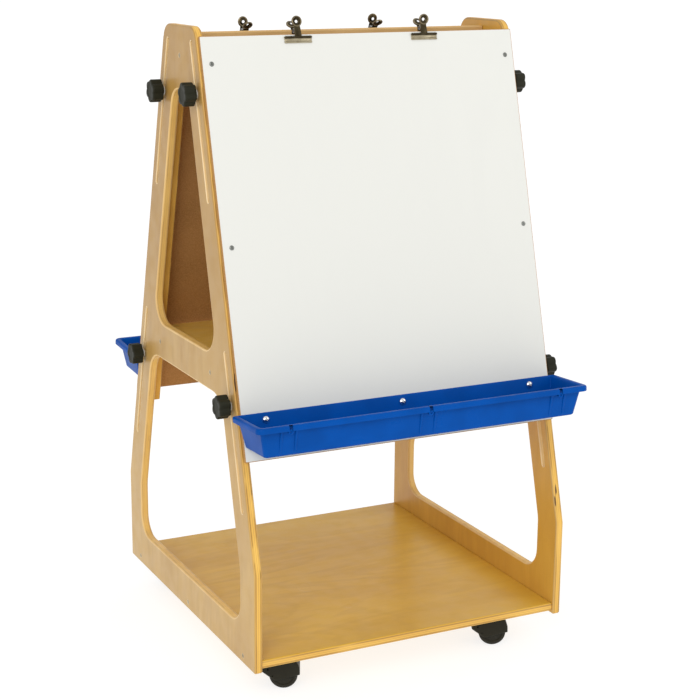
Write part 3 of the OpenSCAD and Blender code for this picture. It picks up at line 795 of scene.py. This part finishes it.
def tray_eye(build, x, place):
    """A small eye under a notch and the lug that carries it."""
    lathe(build, circle(1.25, 12, 3.25), place @ at(x, -TRAY_D + 2.2, -11.4) @ turn(90, "X"), 28, closed=True)
    lug = rect(3.4, 7.0), [1.0] * 4, 0.5
    plate(build, lug, [], 7.6, place @ at(x, -TRAY_D + 10.4, -11.6) @ turn(90, "X"), steps=3, bevel_steps=2)


def tray(side):
    """The moulded tray, tipped so that its rim is nearly level."""
    place = on_board(side) @ at(0, -BOARD_T, TRAY_TOP_U) @ Matrix.Rotation(TRAY_BACK, 4, "X")
    hooks = [i * TRAY_PITCH for i in (-1, 0, 1)]
    shell = loft(Build(), tray_shell(), Matrix.Identity(4))
    b = Build()
    stamp(b, cut(shell, [tray_notch(x) for x in hooks]), place)
    for x in hooks:
        for s in (-1, 1):
            tray_rib(b, x + s * 13.5, place)
    for x in hooks:
        tray_eye(b, x, place)
    b.normals = [None] * len(b.verts)
    soften(b.make(f"tray_{side}", [blue], f"{side}_board", [f"{side}_tray"], "tray", 38))


# ---- Bulldog clips ----


def jaw(build, place, lean, arm, tilt=0.0):
    """One half of a clip, outwards along -Y: flat lip, ribbed bead, neck, and a leaning arm with a rolled
    finger loop."""
    face = -BOARD_T / 2 - 0.3
    half = 25.6
    lip = []
    for x in (-half, -half + 0.5, half - 0.5, half):
        e = 0.35 if abs(x) == half else 0.0
        lip.append([(x, face, -15.9 + e), (x, face, -5.0), (x, face - 1.5, -5.0), (x, face - 1.5 + e, -9.2),
                    (x, face - 1.15 + e, -9.8), (x, face - 1.15 + e, -13.2), (x, face - 1.9 + e, -14.0),
                    (x, face - 2.1 + e, -15.1), (x, face - 1.7 + e, -15.8)])
    loft(build, [r[::-1] for r in lip], place, mat=LIP)

    # Painted dark reflection: the bead, and the neck and arm below, take the near-black copy of the nickel.
    ribs, per_rib = 24, 4
    count = ribs * per_rib
    bead = []
    for k in range(count + 1):
        x = -half + 2 * half * k / count
        r = 2.15 + 0.20 * math.cos(2 * math.pi * k / per_rib)
        r *= min(1.0, 0.60 + 0.40 * min(k, count - k) / 2)
        bead.append([(x, face - 2.2 - y, -6.2 + z) for y, z in circle(r, 16)])
    loft(build, [r[::-1] for r in bead], place, mat=DARK)

    neck = []
    for y, z, w in ((-3.3, -6.6, 6.6), (-3.7, -3.6, 6.4), (-3.5, 0.5, 6.3), (-3.0, 4.0, 6.2),
                    (-2.6, 8.4, 6.0)):
        neck.append([(-w, face + y + 0.5, z), (-w * 0.86, face + y, z), (w * 0.86, face + y, z),
                     (w, face + y + 0.5, z), (w, face + y + 1.3, z), (-w, face + y + 1.3, z)])
    loft(build, neck, place, mat=DARK)

    arm_place = place @ at(0, face - 2.3, 7.0) @ turn(tilt, "Y") @ turn(lean, "X")
    rows = []
    for z, w, y in ((-0.8, 6.0, 0.0), (3.0, 5.7, 0.1), (arm - 8.0, 5.2, 0.2), (arm - 5.6, 4.8, 0.4)):
        rows.append([(-w, y - 0.1, z), (-w * 0.8, y - 0.55, z), (w * 0.8, y - 0.55, z), (w, y - 0.1, z),
                     (w, y + 0.9, z), (-w, y + 0.9, z)])
    loft(build, rows, arm_place, mat=DARK)

    loop = arm_place @ at(0, 0.9, arm) @ turn(90, "X")
    rim = [(6.3, -0.9), (6.6, 0.3), (7.3, 1.5), (8.2, 1.9), (9.1, 1.4), (9.5, 0.3), (9.3, -0.8), (8.4, -1.3),
           (7.0, -1.4)]
    cup = [(2.6, -2.0), (2.9, -1.4), (4.2, -0.9), (5.4, -0.2), (6.3, 0.8), (7.0, 0.4), (6.9, -0.9),
           (5.6, -1.7), (4.0, -2.3), (3.0, -2.5)]
    # Painted shade: the loop's rim takes the darker copy of the nickel, and its hollow cup the near-black
    # one.
    lathe(build, rim, loop, 44, mat=LOOP, closed=True)
    lathe(build, cup, loop, 44, mat=DARK, closed=True)


# Lean, arm length and tilt of each clip's arms, left and right
FRONT_ARMS = ((3, 14.2), (15, 12.8, 4))
BACK_ARMS = ((42, 17.2), (36, 14.6, -3))


def clips(side):
    """Both clips of a board, each a front jaw that opens, a back jaw and a spring."""
    body = f"{side}_board"
    spring_end = [(2.95, -5.3), (3.4, -5.5), (3.85, -5.2), (3.9, -4.6), (3.9, 4.6), (3.85, 5.2), (3.4, 5.5),
                  (2.95, 5.3)]
    back, springs = Build(), Build()
    for i, hand in enumerate(HANDS):
        place = on_clip(side, i)
        jaw(back, place @ turn(180, "Z"), *BACK_ARMS[i])
        lathe(springs, spring_end, place @ at(0, 0, 6) @ turn(90, "Y"), 28, closed=True)
        front = Build()
        jaw(front, place, *FRONT_ARMS[i])
        name = f"{side}_clip_jaw_{hand}"
        front.make(f"jaw_{side}_{hand}", CLIP_METALS, name, [name], "clip", 40)
    back.make(f"back_jaws_{side}", CLIP_METALS, body, [f"{side}_clip_back_jaws"], "clip", 40)
    springs.make(f"springs_{side}", [zinc], body, [f"{side}_clip_springs"], "steel")


# ---- Boards ----


def writing_board(side):
    """A hardboard panel with a white sheet on its face, which ends a little inside its edges."""
    facing = on_board(side) @ axes((1, 0, 0), (0, 0, 1), (0, -1, 0))
    panel_outline = rect(BOARD_W, BOARD_L, 0, BOARD_L / 2), [2.0] * 4, 0.9
    sheet_t, sheet_in = 0.9, 1.2
    sheet = rect(BOARD_W - 2 * sheet_in, BOARD_L - 2 * sheet_in, 0, BOARD_L / 2), [1.5] * 4, 0.1
    b = Build()
    plate(b, panel_outline, [], BOARD_T - 0.15, facing, (1, 1, 1))
    plate(b, sheet, [], sheet_t, facing @ at(0, 0, BOARD_T - sheet_t), bevel_steps=2)
    b.make(f"board_{side}", [white, brown], f"{side}_board", [f"{side}_whiteboard"], "board")


def cleat(side, hand):
    """The strip behind a board's edge that the studs screw into, drawn as (-y, z)."""
    s = -1 if hand == "left" else 1
    x = s * (INNER_X - 0.4 - CLEAT_W / 2)
    world_x = x if side == "front" else -x
    outline = rect(CLEAT_D - 0.2, BOARD_L, -CLEAT_D / 2, BOARD_L / 2), [1.5] * 4, 1.6
    studs = [round_hole(-STUD_Y, u, 3.6) for u in STUD_U.values()]
    material = plywood(f"ply_cleat_{side}_{hand}", 0, (world_x - CLEAT_W / 2) / 1000, CLEAT_W / 1000, 2, 13)
    place = on_board(side) @ at(x + CLEAT_W / 2, 0, 0) @ axes((0, -1, 0), (0, 0, 1), (-1, 0, 0))
    b = Build()
    plate(b, outline, studs, CLEAT_W, place)
    b.make(f"cleat_{side}_{hand}", [material], f"{side}_board", [f"{side}_cleat_{hand}"], "ply")


def board_fasteners(side):
    """Screws through the board's corners, the tray's bolts, and the washers under the knobs."""
    body, place = f"{side}_board", on_board(side)
    screws = Build()
    for k, (x, u) in enumerate((s * BOARD_SCREW_X, u) for s in (-1, 1) for u in BOARD_SCREW_U):
        stamp(screws, pan_screw, place @ at(x, -BOARD_T, u) @ turn(90, "X") @ turn(31 * k, "Z"))
    screws.make(f"screws_{side}", [dull_zinc], body, [f"{side}_board_screws"], "steel")

    bolts = Build()
    for i in (-1, 0, 1):
        spot = at(i * TRAY_PITCH, -BOARD_T, 68)
        stamp(bolts, dome_bolt, place @ spot @ turn(90, "X") @ turn(20 + 40 * i, "Z"))
    bolts.make(f"bolts_{side}", [chrome], body, [f"{side}_tray_bolts"], "chrome")

    washer = [(3.25, 0.45), (3.45, 0.3), (8.2, 0.3), (8.5, 0.55), (8.5, 1.55), (8.1, 1.9), (3.5, 1.9),
              (3.25, 1.7)]
    washers = Build()
    for hand in HANDS:
        for level in STUD_U:
            lathe(washers, washer, at_stud(side, level, hand), 40, closed=True)
    # The washers take the near-white zinc, a painted highlight.
    washers.make(f"washers_{side}", [painted_highlight_zinc], body, [f"{side}_washers"], "steel")


for side in SIDES:
    writing_board(side)
    for hand in HANDS:
        cleat(side, hand)
    board_fasteners(side)
    clips(side)
    tray(side)
    for level in STUD_U:
        for hand in HANDS:
            knob(side, level, hand)

# ---- Casters ----

HOOD_W = 47.2
WHEEL_Y = 4 + 0.6 + WHEEL_W / 2
COVER_R = 28.6


def cover_line(s):
    """Cutter for the line where a hood's round cover meets its bracket, on side s."""
    y_out, y_in = s * HOOD_W / 2 + s, s * HOOD_W / 2 - s * 0.7
    rings = []
    for t in (0.1 * k - 0.75 for k in range(17)):
        x, z = math.cos(t), math.sin(t)
        ring = [(TRAIL + (COVER_R - 0.35 * q) * x, y, WHEEL_R + (COVER_R - 0.35 * q) * z)
                for q, y in ((1, y_out), (-1, y_out), (-1, y_in), (1, y_in))]
        rings.append(ring[::s])
    return loft(Build(), rings, Matrix.Identity(4))


def hood_shape():
    """Hood over both wheels, X from the swivel to the axle, Z up, in its own frame."""
    outline = [(-11.9, 25.6), (31, 13.5), (54.8, 31.2), (54.8, 37.5), (46.5, 50.5), (36.5, 60.5),
               (-11.9, 60.5)]
    stand = at(0, HOOD_W / 2, 0) @ axes((1, 0, 0), (0, 0, 1), (0, -1, 0))
    b = plate(Build(), (outline, [1.2, 3.0, 2.0, 4, 16, 8, 28.5], 4.6), [], HOOD_W, stand, bevel_steps=6)
    cuts = []
    for s in (-1, 1):
        # Wheel pocket and two small dimples, as (radius, x, z, depth)
        for r, x, z, depth in ((26.0, TRAIL, WHEEL_R, 17.2), (1.6, 44.0, 36.5, 24.0),
                               (1.2, 36.0, 24.5, 24.0)):
            place = at(x, s * WHEEL_Y, z) @ turn(90, "X")
            cuts.append(lathe(Build(), [(r, -depth / 2), (r, depth / 2)], place, 64 if r > 5 else 20))
        cuts.append(cover_line(s))
    # Bores for the axle and for the plate's pintle
    for r, low, high, place in ((3.02, -22.3, 22.3, at(TRAIL, 0, WHEEL_R) @ turn(90, "X")),
                                (4.1, 48.0, 62.0, Matrix.Identity(4))):
        cuts.append(lathe(Build(), [(r, low), (r, high)], place, 32))
    return cut(b, cuts)


hood_mesh = hood_shape()
axle_profile = [(2.4, -22.2), (3.0, -21.6), (3.0, -4.2), (2.8, -4.0), (2.8, 4.0), (3.0, 4.2), (3.0, 21.6),
                (2.4, 22.2)]
tyre_half = [(3.06, 7.9), (8.6, 8.0), (9.0, 7.7), (9.6, 6.2), (17.6, 6.1), (18.6, 7.6), (19.2, 8.0),
             (21.6, 8.0), (23.4, 7.4), (24.5, 6.2), (24.9, 4.6), (25.0, 2.0)]
tyre = [(r, -z) for r, z in tyre_half] + tyre_half[::-1]


def caster(corner, sx, sy):
    """Hood, axle and two wheels, heading away from the swivel."""
    swivel = MM @ at(sx * SWIVEL[0], sy * SWIVEL[1], 0) @ Matrix.Rotation(HEADING, 4, "Z")
    body = f"caster_{corner}"
    hood, axle = Build(), Build()
    stamp(hood, hood_mesh, swivel)
    soften(hood.make(f"hood_{corner}", [hood_black], body, [f"{body}_hood"], "caster", 30))
    lathe(axle, axle_profile, swivel @ at(TRAIL, 0, WHEEL_R) @ turn(90, "X"), 32)
    axle.make(f"axle_{corner}", [zinc], body, [f"{body}_axle"], "steel")
    for hand in HANDS:
        s = 1 if hand == "left" else -1
        wheel = Build()
        lathe(wheel, tyre, swivel @ at(TRAIL, s * WHEEL_Y, WHEEL_R) @ turn(90, "X"), 72, closed=True)
        name = f"{body}_wheel_{hand}"
        wheel.make(f"tyre_{corner}_{hand}", [tread], name, [name], "wheel", 40)


for corner, (sx, sy) in CORNERS.items():
    caster(corner, sx, sy)

# ---- CAD nodes that are shown as they are ----

node_slot = {s["node"]: s["material_slot"] for s in frame["record"]["subparts"]}
for name, obj in frame["nodes"].items():
    obj.data.materials.clear()
    obj.data.materials.append(BY_SLOT[node_slot[name]])

# ---- Floor, light and camera ----


def pale_floor():
    """A grey that glows almost white, so that only a trace of shadow is seen."""
    g = Graph("floor")
    cloud = g.noise(g.place, 2.0, 3.0)
    grain = g.noise(g.place, 140.0, 2.0)
    colour = g.mix(g.span(cloud, 0.3, 0.7), (0.27, 0.27, 0.27), (0.25, 0.25, 0.25))
    return g.finish(colour, 0.85, grain, 0.00002, glow=0.80)


def softbox(name, spot, aim, size, power):
    """A round soft light, in metres and watts."""
    data = bpy.data.lights.new(name, "AREA")
    data.shape, data.size, data.energy = "DISK", size, power
    obj = bpy.data.objects.new(name, data)
    bpy.context.scene.collection.objects.link(obj)
    obj.location = spot
    obj.rotation_mode = "QUATERNION"
    obj.rotation_quaternion = (Vector(aim) - Vector(spot)).to_track_quat("-Z", "Y")


reach = 60
floor_mesh = bpy.data.meshes.new("floor")
floor_mesh.from_pydata([(x, y, 0) for x, y in rect(2 * reach, 2 * reach)], [], [(0, 1, 2, 3)])
floor_mesh.materials.append(pale_floor())
floor = bpy.data.objects.new("floor", floor_mesh)
bpy.context.scene.collection.objects.link(floor)

world = bpy.data.worlds.new("studio")
world.use_nodes = True
background = world.node_tree.nodes["Background"]
background.inputs["Color"].default_value = (1.0, 1.0, 1.0, 1.0)
background.inputs["Strength"].default_value = 0.80
bpy.context.scene.world = world
bpy.context.scene.view_settings.view_transform = "Standard"

softbox("key", (-2.4, -3.1, 2.7), (0, 0, 0.60), 2.8, 62.0)
softbox("fill", (3.0, -2.4, 2.4), (0, 0, 0.4), 2.6, 18.0)

camera = bpy.data.objects.new("camera", bpy.data.cameras.new("camera"))
bpy.context.scene.collection.objects.link(camera)
azimuth, elevation, roll = math.radians(-25.421), math.radians(13.685), 0.0024
ahead = Vector((-math.sin(azimuth) * math.cos(elevation), math.cos(azimuth) * math.cos(elevation),
                -math.sin(elevation)))
flat = Vector((math.cos(azimuth), math.sin(azimuth), 0))
upright = flat.cross(ahead)
right = flat * math.cos(roll) + upright * math.sin(roll)
up = upright * math.cos(roll) - flat * math.sin(roll)
camera.matrix_world = axes(right, up, -ahead, (-1.3229, -2.6466, 1.2714))
camera.data.sensor_width = 36.0
camera.data.lens = 83.62
camera.data.shift_x, camera.data.shift_y = 0.062, -0.0214
camera.data.clip_end = 300.0
bpy.context.scene.camera = camera
